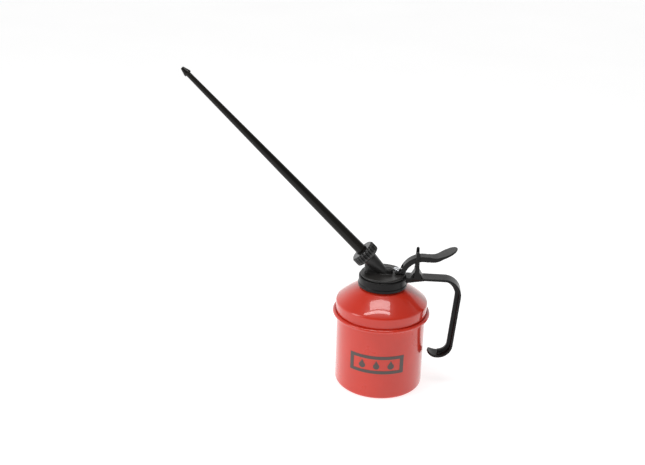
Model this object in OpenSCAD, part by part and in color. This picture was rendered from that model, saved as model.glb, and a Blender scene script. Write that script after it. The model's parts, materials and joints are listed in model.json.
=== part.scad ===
// Thumb-lever oil can: a 500 ml drawn can with a screwed collar, a piston pump and a long rigid spout.
// Millimetres, +Z up. The origin is the centre of the can's flat base. The handle points along +X and
// the spout leans towards -X.

/* [Can] */
// Outside diameter of the drawn can
can_d = 85; // [70:0.5:102]
// Height of the seam's middle above the floor
can_h = 73.5; // [60:0.5:90]
// Thickness of the sheet metal
sheet = 0.6; // [0.5:0.1:0.8]
// Outside radius of the bottom corner
corner_r = 3; // [2:0.5:5]
// Radius of the round bead of the seam
seam_r = 1.7; // [1.4:0.1:2.0]
// Height of the wall between the seam and the shoulder's round edge
wall_h = 10.5; // [8:0.5:14]
// Radius of the shoulder's round edge
edge_r = 3; // [2:0.5:4]
// Rise of the dome from the round edge to the foot of the neck
dome_rise = 16.9; // [13:0.1:21]
// Slope of the dome where it leaves the round edge, in degrees
dome_slope = 42; // [40:1:50]
// Outside diameter of the neck
neck_d = 40; // [40:0.5:48]
// Height of the neck
neck_h = 6.1; // [5.5:0.1:7.5]

/* [Collar] */
// Thickness of the collar's wall over its thread
collar_wall = 1.9; // [1.6:0.1:2.6]
// Thickness of the collar's top plate
collar_plate = 3; // [2.5:0.1:4]
// Height of the collar's lower lip
lip_h = 2.7; // [2:0.1:3.5]
// How far the lip stands out of the collar's wall
lip_out = 0.6; // [0.4:0.1:1]
// Thickness of the rubber gasket on the neck
gasket_t = 1; // [0.8:0.1:1.4]
// Rise of the screw thread for one turn
neck_pitch = 3; // [2:0.5:4]

/* [Pump] */
// Thickness of the pump head's round plate
head_t = 2.5; // [2:0.1:3.5]
// Bore of the pump barrel
bore_d = 7.8; // [6.8:0.1:8.4]
// Wall of the pump barrel
barrel_wall = 0.9; // [0.7:0.1:1.1]
// Length of the pump barrel
barrel_l = 42; // [38:1:50]
// Stroke of the piston
stroke = 10; // [8:0.5:11]
// Diameter of the piston rod
rod_d = 3.2; // [2.6:0.1:3.4]
// Diameter of the bright head on the rod
rod_head_d = 6.5; // [6:0.1:7]
// Height of the bright head on the rod
rod_head_h = 2.6; // [2:0.1:3.4]
// Diameter of the inlet ball
inlet_ball_d = 4.8; // [4:0.1:5.2]
// Diameter of the outlet ball
outlet_ball_d = 4.2; // [3.6:0.1:4.6]
// Lift of both balls off their seats
ball_lift = 1.2; // [0.8:0.1:1.6]
// Outside diameter of the pickup tube
pickup_d = 5; // [4:0.1:5.4]
// Gap between the strainer and the can's floor
strainer_gap = 4; // [3:0.5:8]

/* [Spout] */
// Angle of the spout above the horizontal
spout_angle = 45; // [42:1:50]
// Length of the spout from the pump head to its tip
spout_l = 265; // [200:1:320]
// Diameter of the spout at the nut
spout_base_d = 10.4; // [9:0.1:11]
// Diameter of the spout at the nozzle
spout_tip_d = 4.7; // [4:0.1:6]
// Outside diameter of the spout nut
nut_d = 24.8; // [22:0.1:28]
// Length of the spout nut
nut_l = 9; // [8:0.5:12]
// Outside diameter of the outlet's screwed end
outlet_d = 14; // [13.5:0.1:15]
// Rise of the nut's thread for one turn
nut_pitch = 1.5; // [1:0.25:2]

/* [Lever] */
// Distance from the rod to the lever's pivot pin
lever_reach = 18.8; // [16:0.1:21]
// Height of the pivot pin over the pump head
pivot_h = 16.4; // [15:0.1:19]
// Width of the lever's bar
lever_w = 10; // [9.5:0.5:12]
// Thickness of the lever's bar
lever_t = 5; // [4.4:0.1:5.4]
// Width of the thumb pad
pad_w = 18.5; // [14:0.5:22]
// Length of the thumb pad
pad_l = 22.5; // [18:0.5:24]
// Diameter of the pivot pin
pivot_d = 2.6; // [2.4:0.1:3.2]

/* [Handle] */
// Finger gap between the can's wall and the handle's web
finger_gap = 26.5; // [22:0.5:34]
// Width of the handle's flange
strap_w = 14.5; // [12:0.5:18]
// Thickness of the handle's flange
strap_t = 2.1; // [2:0.1:3.2]
// Full depth of the web inside the flange
web_t = 3.6; // [2.5:0.1:4.5]
// Width of the web
web_w = 4; // [3:0.5:5.5]
// Radius of the handle's upper bend
bend_r = 16.5; // [12:0.5:20]
// Radius of the handle's lower hook
hook_r = 14.6; // [11:0.5:16]
// Height of the hook's lowest point
hook_z = 29.2; // [22:0.5:34]

/* [Label] */
// Width of the printed frame, measured straight across
label_w = 50; // [36:1:56]
// Height of the printed frame
label_h = 18.6; // [14:0.2:24]
// Height of the printed frame's middle
label_z = 37; // [30:0.1:44]
// Angle of the frame's middle from the front, towards the spout
label_turn = 2.5; // [0:0.1:20]
// Width of the printed frame's line
label_line = 3.3; // [1.5:0.1:3.5]

/* [Hidden] */
$fn = 96;
e = 0.01;
// running clearance of a turning or sliding fit, and the wider gap between parts that only pass
fit = 0.05;
gap = 0.3;
can_r = can_d / 2;
flange_z = can_h - 0.6;
flange_l = seam_r + 1.4;
seam_mid_r = can_r + flange_l - 0.7;
wall_r = can_r + 0.9;
edge_max_r = wall_r + 0.4;
edge_z = can_h + wall_h;
dome_z = edge_z + dome_rise;
neck_r = neck_d / 2;
neck_in = neck_r - sheet;
neck_top = dome_z + neck_h;
thread_r = neck_r + 0.5;
thread_bead = 0.5;
ring_t = 0.3;
collar_in = thread_r + gap + 0.1;
collar_r = collar_in + collar_wall;
collar_floor = neck_top + gasket_t + ring_t;
collar_top = collar_floor + collar_plate;
collar_low = dome_z + 0.7;
head_top = collar_top + head_t;
head_r = collar_r - 1.5;
barrel_r = bore_d / 2 + barrel_wall;
seal_in = neck_in - 0.2;
spigot_r = seal_in - 0.6;
spigot_core_r = 12;
socket_wall = 2.2;
spigot_l = 3.3;
spigot_low = collar_floor - spigot_l;
pump_x = spigot_r - 0.7 - barrel_r;
barrel_top = collar_floor + 1.4;
barrel_low = barrel_top - barrel_l;
rod_r = rod_d / 2;
washer_t = 0.8;
packing_r = bore_d / 2 - 0.6;
packing_top = head_top - 0.9;
port_z = barrel_top - 2.4;
piston_l = 6;
spring_rest = 26;
piston_top = barrel_top - washer_t - spring_rest;
rod_head_z = head_top + 2.6;
foot_r = barrel_r + 0.5;
foot_bore = inlet_ball_d / 2 + 0.3;
inlet_seat_r = 1.5;
cage_r = 0.6;
// the cage pin stops the ball just over its lift, and stays below the barrel
cage_rise = ball_seat_z(inlet_ball_d / 2, inlet_seat_r, 0) + inlet_ball_d / 2 + ball_lift + cage_r + 0.1;
foot_seat = barrel_low - cage_rise - cage_r - 0.5;
foot_low = foot_seat - 4;
foot_top = barrel_low + 5;
tube_grip = 2.5;
strainer_low = sheet + strainer_gap;
strainer_h = 11;
strainer_r = barrel_r;
chamber_x = pump_x - barrel_r - outlet_ball_d / 2 - 1.3;
chamber_r = outlet_ball_d / 2 + 0.3;
chamber_seat = collar_floor + 1;
chamber_wall_r = pump_x - rod_head_d / 2 - 0.4 - chamber_x;
outlet_seat_r = 1.4;
outlet_ball_z = ball_seat_z(outlet_ball_d / 2, outlet_seat_r, chamber_seat);
plug_lip = 0.9;
chamber_top = head_top + 4.4;
plug_t = 2;
screw_r = 1.25;
screw_head_r = 2.3;
screw_at = spigot_r - screw_head_r + 0.1;
screw_angles = [120, 180, 240];
outlet_x = 0.5;
outlet_r = outlet_d / 2;
outlet_bore = 1.7;
outlet_base_r = 4.6;
seal_t = 0.8;
ferrule_t = 1.2;
nut_low = 21.4;
nut_top = nut_low + nut_l;
nut_flange = 1.5;
nut_r = nut_d / 2;
nut_bore = outlet_r + gap;
nut_washer_t = 0.3;
ferrule_top = nut_top - nut_flange - nut_washer_t;
ferrule_low = ferrule_top - ferrule_t;
outlet_end = ferrule_low - seal_t;
spout_wall = 0.8;
nozzle_l = 8;
nozzle_low = spout_l - nozzle_l;
tube_low = ferrule_low + 0.4;
tube_top = nozzle_low + 2;
nut_ribs = 24;
pivot_x = pump_x + lever_reach;
pivot_z = head_top + pivot_h;
pivot_r = pivot_d / 2;
ear_in = lever_w / 2 + gap;
ear_t = 2.4;
ear_top = pivot_z + 8.6;
strap_top = collar_top + 0.7;
tine_z = rod_head_z - 0.15;
tine_t = 2.1;
tine_reach = 1.2;
nose = [pump_x - pivot_x, rod_head_z - pivot_z];
arm = norm(nose);
press_max = asin((nose[1] + stroke) / arm) - asin(nose[1] / arm);
sweep_steps = 6;
pad_tilt = 28;
pad_t = 1.8;
handle_x = can_r + finger_gap + web_t + strap_t;
handle_lean = 4.5;

// ---- helpers ----

function unit(v) = v / norm(v);
function arc(c, r, a0, a1, n = 12) =
    [for (i = [0:n]) c + r * [cos(a0 + (a1 - a0) * i / n), sin(a0 + (a1 - a0) * i / n)]];
function normal_at(path, i) =
    let (a = path[max(i - 1, 0)], b = path[min(i + 1, len(path) - 1)], d = unit(b - a)) [-d[1], d[0]];
function shifted(path, t) = [for (i = [0:len(path) - 1]) path[i] + t * normal_at(path, i)];
function reversed(path) = [for (i = [len(path) - 1:-1:0]) path[i]];
// height of a ball's middle when it rests on the edge of a round seat at height z
function ball_seat_z(r, seat_r, z) = z + sqrt(r * r - seat_r * seat_r) + 0.02;
// the closed outline between two copies of a path, one moved by t0 and one by t1 to its left
function band(path, t0, t1) = concat(shifted(path, t0), reversed(shifted(path, t1)));

module at(x, z) translate([x, 0, z]) children();
// an X-Z outline made into a slab of width w, centred on Y
module slab(w) rotate([90, 0, 0]) linear_extrude(w, center = true) children();
module ring(r_out, r_in, z0, z1) {
    translate([0, 0, z0]) difference() {
        cylinder(r = r_out, h = z1 - z0);
        translate([0, 0, -e]) cylinder(r = r_in, h = z1 - z0 + 2 * e);
    }
}
module rod(r, z0, z1) translate([0, 0, z0]) cylinder(r = r, h = z1 - z0);
module cone(r0, r1, z0, z1) translate([0, 0, z0]) cylinder(r1 = r0, r2 = r1, h = z1 - z0);
// the outlet's own axes: Z runs up the spout, from the pump head's top face
module along_spout() translate([outlet_x, 0, head_top]) rotate([0, spout_angle - 90, 0]) children();

// a coil spring from z0 to z1, with a six-sided wire
module coil(r, wire, z0, z1, turns) {
    sides = 6;
    steps = 12 * turns;
    rise = z1 - z0 - wire;
    points = [for (i = [0:steps], j = [0:sides - 1])
        let (turn = 360 * turns * i / steps, a = 360 * j / sides, reach = r + wire / 2 * cos(a))
        [reach * cos(turn), reach * sin(turn), z0 + wire / 2 + rise * i / steps + wire / 2 * sin(a)]];
    walls = [for (i = [0:steps - 1], j = [0:sides - 1])
        let (k = (j + 1) % sides) [i * sides + j, (i + 1) * sides + j, (i + 1) * sides + k, i * sides + k]];
    start = [for (j = [0:sides - 1]) j];
    finish = [for (j = [sides - 1:-1:0]) steps * sides + j];
    polyhedron(points, concat([start], walls, [finish]));
}

// ---- can ----

// drawn cup with a round bottom corner and a flange that the seam grips
module can_body() {
    corner = arc([can_r - corner_r, corner_r], corner_r, -90, 0);
    outer = concat([[0, 0]], corner, [[can_r, flange_z]]);
    color("firebrick") union() {
        rotate_extrude() polygon(band(outer, 0, sheet));
        ring(can_r + flange_l, can_r - sheet, flange_z - e, flange_z + sheet);
    }
}

// upper shell: seam bead, short wall, round edge, dome and neck
module can_shoulder() {
    edge_c = [edge_max_r - edge_r, edge_z];
    turn = 90 - dome_slope;
    edge = arc(edge_c, edge_r, 0, turn, 8);
    p0 = edge[8];
    p1 = [neck_r + sheet, dome_z];
    chord = p1 - p0;
    bow = dome_slope - atan2(chord[1], -chord[0]);
    dome_r = norm(chord) / 2 / sin(bow);
    dome_c = p0 - dome_r * [cos(turn), sin(turn)];
    dome = arc(dome_c, dome_r, turn, turn + 2 * bow, 10);
    seat = flange_z + sheet;
    wall = concat(
        [[wall_r, seat]], edge, [for (i = [1:10]) dome[i]],
        [[neck_r, dome_z + sheet], [neck_r, neck_top]]
    );
    color("firebrick") difference() {
        union() {
            rotate_extrude() polygon(band(wall, 0, sheet));
            ring(seam_mid_r, wall_r - sheet, seat, seat + sheet);
            rotate_extrude() translate([seam_mid_r, can_h]) circle(seam_r);
            for (turn = [0:1])
                rotate_extrude() translate([neck_r, neck_top - 1.3 - turn * neck_pitch]) circle(thread_bead);
        }
        ring(can_r + flange_l + 0.05, can_r - 1, flange_z - 0.05, seat);
        rod(neck_in, dome_z, neck_top + 1);
    }
}

// ---- label: a plain frame round three oil drops, printed on the can ----

module label_skin() ring(can_r + 0.15, can_r, label_z - label_h, label_z + label_h);

module label_front(w, h) {
    rotate([0, 0, -label_turn]) translate([0, -can_r / 2 - 2, label_z])
        cube([w, can_r + 4, h], center = true);
}

module label_frame() {
    color("dimgray") intersection() {
        label_skin();
        difference() {
            label_front(label_w, label_h);
            label_front(label_w - 2 * label_line, label_h - 2 * label_line);
        }
    }
}

module drop_outline(r) {
    circle(r);
    polygon([[-r * 0.84, r * 0.46], [0, 2 * r], [r * 0.84, r * 0.46]]);
}

module label_drops() {
    drop_r = (label_h - 2 * label_line) / 2 * 0.5;
    color("dimgray") intersection() {
        label_skin();
        rotate([0, 0, -label_turn]) for (i = [-1:1])
            translate([i * label_w * 0.27, 0, label_z - drop_r * 0.5])
                rotate([90, 0, 0]) linear_extrude(can_r + 4) drop_outline(drop_r);
    }
}

// ---- seal and collar ----

module neck_gasket() color("black") ring(thread_r, seal_in, neck_top, neck_top + gasket_t);

module slip_ring() color("gray") ring(thread_r, seal_in, neck_top + gasket_t, collar_floor);

// outline of everything that passes down through the collar's plate
module spigot_plan(clear) {
    circle(spigot_core_r + clear);
    translate([pump_x, 0]) circle(barrel_r + socket_wall + clear);
}

// screw collar with the carrying handle and the lever's fork in one casting
module collar_handle() {
    color([0.12, 0.12, 0.13]) difference() {
        union() {
            rod(collar_r, collar_low, collar_top);
            rod(collar_r + lip_out, collar_low, collar_low + lip_h);
            handle_strap();
            fork();
        }
        translate([0, 0, collar_low - e]) cylinder(r = collar_in, h = collar_floor - collar_low + e);
        translate([0, 0, collar_floor - 1]) linear_extrude(collar_plate + 2) spigot_plan(0.1);
        rod(head_r + 0.2, collar_top, collar_top + head_t);
        for (a = screw_angles) rotate([0, 0, a]) translate([screw_at, 0, 0]) {
            rod(screw_r + 0.15, collar_floor - 1, collar_top + 1);
        }
        at(pivot_x, pivot_z) rotate([90, 0, 0]) cylinder(r = pivot_r, h = 4 * lever_w, center = true);
    }
}

// path of the handle's outer face, from the collar round to the hook's tip
function handle_path() =
    let (
        bend_c = [handle_x - bend_r, strap_top - bend_r],
        hook_in = (strap_top - bend_r - hook_z - hook_r) * tan(handle_lean),
        hook_c = [handle_x - hook_in - hook_r, hook_z + hook_r]
    )
    concat(
        [[collar_r - 1, strap_top]],
        arc(bend_c, bend_r, 90, -handle_lean, 12),
        arc(hook_c, hook_r, -handle_lean, -132, 14)
    );

function web_share(i) = min(1, 0.4 + 0.07 * i);

module handle_strap() {
    path = handle_path();
    last = len(path) - 1;
    tip = path[last];
    intersection() {
        slab(strap_w) polygon(band(path, 0, -strap_t));
        // the hook's end is rounded in plan
        union() {
            translate([tip[0] + strap_w / 2, 0, 0]) cylinder(r = strap_w / 2, h = strap_top + 1);
            translate([tip[0] + strap_w / 2, -strap_w, 0]) cube([handle_x, 2 * strap_w, strap_top + 1]);
            translate([0, -strap_w, hook_z + hook_r]) cube([handle_x, 2 * strap_w, strap_top]);
        }
    }
    // the web is shallow under the straight top and reaches its full depth in the bend
    inner = [for (i = [0:last - 5]) path[i]];
    deep = [for (i = [0:last - 5]) inner[i] - (strap_t + web_t * web_share(i)) * normal_at(inner, i)];
    slab(web_w) polygon(concat(shifted(inner, -strap_t / 2), reversed(deep)));
    // gusset that joins the web to the collar's wall
    slab(web_w) polygon([
        [collar_r - 0.8, strap_top - 1],
        [pivot_x + 14, strap_top - 1],
        [pivot_x + 14, strap_top - strap_t - web_t * web_share(0)],
        [collar_r - 0.8, collar_low + lip_h]
    ]);
}

// two ears that hold the lever's pin, on a sloping base
module fork() {
    base = strap_top - strap_t / 2;
    slab(lever_w) polygon([
        [pivot_x - 6.4, base], [pivot_x - 1.6, strap_top + 7],
        [pivot_x + 1.6, strap_top + 7], [pivot_x + 6.4, base]
    ]);
    for (side = [-1, 1]) translate([0, side * (ear_in + ear_t / 2), 0]) slab(ear_t) {
        polygon([
            [pivot_x - 3.2, base], [pivot_x - 2, strap_top + 9], [pivot_x - 1.5, ear_top - 1.5],
            [pivot_x + 1.5, ear_top - 1.5], [pivot_x + 2, strap_top + 9], [pivot_x + 3.2, base]
        ]);
        translate([pivot_x, ear_top - 1.5]) circle(1.5);
        translate([pivot_x, pivot_z]) circle(pivot_r + 1);
    }
    // feet that tie each ear to the base
    for (side = [-1, 1]) translate([0, side * (lever_w / 2 + gap / 2), 0]) slab(gap + 2) polygon([
        [pivot_x - 4.4, base], [pivot_x - 1.6, strap_top + 6],
        [pivot_x + 1.6, strap_top + 6], [pivot_x + 4.4, base]
    ]);
}

// ---- pump head ----

module pump_head() {
    edge = 0.8;
    color([0.14, 0.14, 0.15]) difference() {
        union() {
            rotate_extrude() polygon([
                [0, collar_top], [head_r - 0.5, collar_top], [head_r, collar_top + 0.5],
                [head_r, head_top - edge], [head_r - 0.3, head_top - 0.3],
                [head_r - edge, head_top], [0, head_top]
            ]);
            translate([0, 0, collar_floor]) linear_extrude(collar_plate + 1) spigot_plan(0);
            intersection() {
                translate([0, 0, spigot_low]) linear_extrude(spigot_l + 1) spigot_plan(0);
                rod(spigot_r, spigot_low - 1, collar_floor + 2);
            }
            // valve chamber's boss and the round block under the outlet
            at(chamber_x, 0) rod(chamber_wall_r, collar_top, chamber_top);
            outlet_block();
            along_spout() {
                cone(outlet_base_r, outlet_r - 0.3, -3, nut_low - 3);
                rod(outlet_r - 0.3, nut_low - 3, nut_low - 1);
                rod(outlet_r, nut_low - 1, outlet_end);
            }
        }
        // barrel socket, packing chamber and rod hole
        at(pump_x, 0) {
            rod(barrel_r, spigot_low - 1, barrel_top);
            rod(packing_r, barrel_top - e, packing_top);
            rod(rod_r + fit, packing_top - e, head_top + 6);
        }
        // port from the barrel, valve seat, chamber and outlet bore
        translate([chamber_x, 0, port_z]) rotate([0, 90, 0]) cylinder(r = 1, h = pump_x - chamber_x);
        at(chamber_x, 0) {
            rod(outlet_seat_r, port_z, chamber_seat + e);
            rod(chamber_r, chamber_seat, chamber_top - plug_t);
            rod(chamber_r + plug_lip, chamber_top - plug_t, chamber_top + 1);
        }
        along_spout() {
            rod(outlet_bore, -3.6, outlet_end + 1);
            // thread of the screwed end, as plain rings at its pitch
            for (z = [nut_low + 0.6:nut_pitch:outlet_end - 0.9])
                ring(outlet_r + 1, outlet_r - 0.4, z, z + 0.5);
        }
        for (a = screw_angles) rotate([0, 0, a]) translate([screw_at, 0, 0])
            rod(screw_r, collar_top - 1, head_top - 0.6);
    }
}

// upright block with a round end that carries the outlet
module outlet_block() {
    left = outlet_x - 18.2;
    half = 4;
    intersection() {
        union() {
            at(left + half, 0) rod(half, collar_top + 1, head_top + 16);
            translate([left + half, -half, collar_top + 1]) cube([12, 2 * half, 16]);
        }
        // cut off along the outlet's own axis, short of the nut
        along_spout() translate([-30, -half - 1, -30]) cube([32, 2 * half + 2, 30 + nut_low - 3]);
    }
}

module head_screws() {
    color("silver") for (a = screw_angles) rotate([0, 0, a]) translate([screw_at, 0, 0]) difference() {
        union() {
            rod(screw_head_r, collar_floor - 1.4, collar_floor);
            rod(screw_r, collar_floor - 0.2, head_top - 0.8);
        }
        translate([-0.3, -screw_head_r - 1, collar_floor - 1.5]) cube([0.6, 2 * screw_head_r + 2, 0.7]);
    }
}

module chamber_plug() {
    plug_r = chamber_r + plug_lip;
    color([0.2, 0.2, 0.21]) at(chamber_x, 0) difference() {
        rod(plug_r, chamber_top - plug_t, chamber_top + 0.3);
        translate([-plug_r - 1, -0.4, chamber_top - 0.4]) cube([2 * plug_r + 2, 0.8, 1]);
    }
}

module outlet_ball() color("silver") at(chamber_x, outlet_ball_z) sphere(outlet_ball_d / 2);

// its lowest coil sits round the ball's shoulder
module outlet_spring() {
    wire = 0.4;
    coil_r = 1.4;
    reach = outlet_ball_d / 2 + wire / 2;
    low = outlet_ball_z + sqrt(reach * reach - coil_r * coil_r) - wire / 2 + 0.06;
    color("gray") at(chamber_x, 0) coil(coil_r, wire, low, chamber_top - plug_t, 3);
}

// ---- pump barrel and what is inside it ----

module pump_barrel() {
    color("goldenrod") at(pump_x, 0) difference() {
        ring(barrel_r, bore_d / 2, barrel_low, barrel_top);
        translate([0, 0, port_z]) rotate([0, -90, 0]) cylinder(r = 1, h = barrel_r + 1);
    }
}

module rod_packing() color("sienna") at(pump_x, 0) ring(packing_r, rod_r + fit, barrel_top, packing_top);

module packing_washer() {
    color("silver") at(pump_x, 0) ring(bore_d / 2 - 0.1, rod_r + 0.2, barrel_top - washer_t, barrel_top);
}

module return_spring() {
    color("gray") at(pump_x, 0) coil(bore_d / 4 + rod_r / 2 + 0.1, 0.8, piston_top, barrel_top - washer_t, 8);
}

module piston_rod() {
    color("silver") at(pump_x, 0) union() {
        rod(rod_r, piston_top - piston_l - 2.4, rod_head_z + 0.5);
    }
}

module rod_head() {
    color("gainsboro") at(pump_x, 0) difference() {
        rotate_extrude() polygon([
            [0, rod_head_z], [rod_head_d / 2, rod_head_z], [rod_head_d / 2, rod_head_z + rod_head_h - 0.5],
            [rod_head_d / 2 - 0.5, rod_head_z + rod_head_h], [0, rod_head_z + rod_head_h]
        ]);
        rod(rod_r, rod_head_z - 1, rod_head_z + 0.5);
    }
}

module piston() {
    color("goldenrod") at(pump_x, 0) ring(bore_d / 2 - fit, rod_r, piston_top - 3, piston_top);
}

module piston_cup() {
    color("saddlebrown") at(pump_x, 0)
        ring(bore_d / 2 - fit / 2, rod_r, piston_top - piston_l + 1, piston_top - 3);
}

module piston_nut() {
    across = (bore_d / 2 - 0.6) * 2;
    color("silver") at(pump_x, 0) difference() {
        translate([0, 0, piston_top - piston_l - 1]) cylinder(d = across, h = 2, $fn = 6);
        rod(rod_r, piston_top - piston_l - 2, piston_top);
    }
}

// ---- inlet ----

module foot_valve() {
    color("goldenrod") at(pump_x, 0) difference() {
        union() {
            rod(foot_r, foot_low + 4, foot_top);
            cone(pickup_d / 2 + 0.9, foot_r, foot_low, foot_low + 4);
        }
        rod(barrel_r, barrel_low, foot_top + 1);
        rod(foot_bore, foot_seat, barrel_low + e);
        rod(inlet_seat_r, foot_low - 1, foot_seat + e);
        rod(pickup_d / 2, foot_low - 1, foot_low + tube_grip);
        at(0, foot_seat + cage_rise) rotate([90, 0, 0]) cylinder(r = cage_r, h = 3 * foot_r, center = true);
    }
}

module inlet_ball() {
    r = inlet_ball_d / 2;
    color("silver") at(pump_x, ball_seat_z(r, inlet_seat_r, foot_seat)) sphere(r);
}

module ball_cage_pin() {
    color("silver") at(pump_x, foot_seat + cage_rise) rotate([90, 0, 0])
        cylinder(r = cage_r, h = 2 * foot_r - 0.4, center = true);
}

module pickup_tube() {
    color("goldenrod") at(pump_x, 0)
        ring(pickup_d / 2, pickup_d / 2 - 0.7, strainer_low + 3, foot_low + tube_grip);
}

module strainer() {
    slots = 12;
    top = strainer_low + strainer_h;
    color("silver") at(pump_x, 0) difference() {
        rod(strainer_r, strainer_low, top);
        rod(strainer_r - 0.7, strainer_low + 0.7, top - 1.5);
        rod(pickup_d / 2, strainer_low + 2, top + 1);
        for (i = [0:slots - 1]) rotate([0, 0, 360 / slots * i])
            translate([0, -0.4, strainer_low + 1.5]) cube([strainer_r + 1, 0.8, strainer_h - 4]);
    }
}

// ---- lever ----

// X-Z outline of the space that a rod of half-width half takes up, seen from the turning lever
module rod_sweep(half, z0, z1) {
    for (i = [0:sweep_steps]) {
        a = press_max * i / sweep_steps;
        translate([pivot_x, pivot_z]) rotate(a) translate([pump_x - pivot_x - half, z0 - pivot_z])
            translate([0, stroke * i / sweep_steps]) square([2 * half, z1 - z0]);
    }
}

// side view of the lever counted from the pivot: an arched bar, a dip and a thin pad that rises
function lever_line() = concat(
    arc([5.8, -19.4], 20, 163, 80, 10),
    arc([13.2, 14], 13.6, -98, -62, 5),
    [for (s = [4.5, 9, 13, pad_l - 4.2, pad_l - 2.6]) [20 + s * cos(pad_tilt), 2.6 + s * sin(pad_tilt)]]
);
// half thickness at each of those points
function lever_half() = concat(
    [for (i = [0:10]) lever_t / 2],
    [for (i = [0:5]) lever_t / 2 * (1 - 0.07 * i)],
    [for (share = [1.3, 1, 1, 0.8, 0.3]) pad_t / 2 * share]
);

module lever_side() {
    line = lever_line();
    half = lever_half();
    upper = [for (i = [0:len(line) - 1]) line[i] + half[i] * normal_at(line, i)];
    lower = [for (i = [0:len(line) - 1]) line[i] - half[i] * normal_at(line, i)];
    polygon(concat(upper, reversed(lower)));
}

// where the straight edge from point p touches the pad's circle, on its lower side
function touch(p, c, r) =
    let (d = c - p, turn = atan2(d[1], d[0]) - asin(r / norm(d)))
    p + sqrt(d * d - r * r) * [cos(turn), sin(turn)];

// the lever from above: a straight bar whose edges widen to meet a round pad
module lever_plan() {
    centre = [lever_line()[20][0] + 0.3 - pad_w / 2, 0];
    start = [centre[0] - 15.5, -lever_w / 2];
    edge = touch(start, centre, pad_w / 2);
    translate([-lever_reach, -lever_w / 2]) square([lever_reach + start[0] + 1, lever_w]);
    translate(centre) circle(pad_w / 2);
    polygon([start, edge, [edge[0], -edge[1]], [start[0], -start[1]]]);
}

module thumb_lever() {
    color([0.13, 0.13, 0.14]) difference() {
        union() {
            translate([pivot_x, 0, pivot_z]) {
                intersection() {
                    slab(pad_w + 1) lever_side();
                    translate([0, 0, -pivot_h]) linear_extrude(2 * pivot_h) lever_plan();
                }
                slab(lever_w) circle(pivot_r + 1.3);
            }
            // flat tines under the rod's head, short enough to swing past the valve chamber
            translate([pump_x - tine_reach, -lever_w / 2, tine_z - tine_t])
                cube([tine_reach + 7.6, lever_w, tine_t]);
        }
        slab(rod_head_d + 2 * gap)
            rod_sweep(rod_head_d / 2 + gap, rod_head_z - 0.14, rod_head_z + rod_head_h + 6);
        slab(rod_d + 2 * gap) rod_sweep(rod_r + gap, rod_head_z - 8, rod_head_z + 1);
        translate([pump_x - 6, -rod_r - gap, tine_z - tine_t - 1]) cube([6, rod_d + 2 * gap, tine_t + 2]);
        at(pivot_x, pivot_z) rotate([90, 0, 0]) cylinder(r = pivot_r + fit, h = 2 * lever_w, center = true);
    }
}

module lever_pin() {
    pin_l = 2 * (ear_in + ear_t);
    color("dimgray") translate([pivot_x, 0, pivot_z]) rotate([90, 0, 0]) union() {
        cylinder(r = pivot_r, h = pin_l + 0.8, center = true);
        for (side = [-1, 1]) translate([0, 0, side * (pin_l / 2 + 0.2)])
            cylinder(r = pivot_r + 0.4, h = 0.4, center = true);
    }
}

// ---- spout ----

function spout_r(s) =
    spout_base_d / 2 + (spout_tip_d - spout_base_d) / 2 * (s - tube_low) / (tube_top - tube_low);

module spout_seal() {
    color("black") along_spout() ring(outlet_r - 0.6, outlet_bore + 0.4, outlet_end, ferrule_low);
}

module spout_ferrule() {
    color("goldenrod") along_spout() difference() {
        rod(outlet_r - 0.2, ferrule_low, ferrule_top);
        rod(spout_base_d / 2 - spout_wall - 0.4, ferrule_low - 1, ferrule_top + 1);
        rod(spout_base_d / 2, tube_low, ferrule_top + 1);
    }
}

module spout_tube() {
    color([0.12, 0.12, 0.13]) along_spout() difference() {
        cone(spout_base_d / 2, spout_tip_d / 2, tube_low, tube_top);
        cone(spout_base_d / 2 - spout_wall, spout_tip_d / 2 - spout_wall, tube_low - e, tube_top + e);
    }
}

module spout_nozzle() {
    flange_r = 3.45;
    color([0.12, 0.12, 0.13]) along_spout() difference() {
        rotate_extrude() polygon([
            [0, nozzle_low], [flange_r - 0.4, nozzle_low],
            [flange_r, nozzle_low + 0.4], [flange_r, nozzle_low + 1.6],
            [1.6, spout_l - 0.3], [1.3, spout_l], [0, spout_l]
        ]);
        cone(spout_r(nozzle_low), spout_tip_d / 2, nozzle_low, tube_top);
        rod(spout_r(nozzle_low), nozzle_low - 1, nozzle_low + e);
        rod(0.8, nozzle_low, spout_l + 1);
    }
}

module nut_washer() {
    color("silver") along_spout()
        ring(outlet_r - 0.1, spout_base_d / 2 + 0.1, ferrule_top, ferrule_top + nut_washer_t);
}

module spout_nut() {
    chamfer = 1.3;
    color([0.12, 0.12, 0.13]) along_spout() difference() {
        rotate_extrude() polygon([
            [0, nut_low], [nut_r - 0.6, nut_low], [nut_r, nut_low + 0.6], [nut_r, nut_top - chamfer],
            [nut_r - chamfer, nut_top], [0, nut_top]
        ]);
        rod(nut_bore, nut_low - 1, nut_top - nut_flange);
        rod(spout_base_d / 2 + 0.4, nut_low, nut_top + 1);
        for (i = [0:nut_ribs - 1]) rotate([0, 0, 360 / nut_ribs * i]) translate([nut_r + 0.5, 0, 0])
            rod(1.2, nut_low - 1, nut_top + 1);
    }
}

can_body();
can_shoulder();
label_frame();
label_drops();
neck_gasket();
slip_ring();
collar_handle();
pump_head();
head_screws();
chamber_plug();
outlet_ball();
outlet_spring();
pump_barrel();
rod_packing();
packing_washer();
return_spring();
piston_rod();
rod_head();
piston();
piston_cup();
piston_nut();
foot_valve();
inlet_ball();
ball_cage_pin();
pickup_tube();
strainer();
thumb_lever();
lever_pin();
spout_seal();
spout_ferrule();
spout_tube();
spout_nozzle();
nut_washer();
spout_nut();
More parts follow.
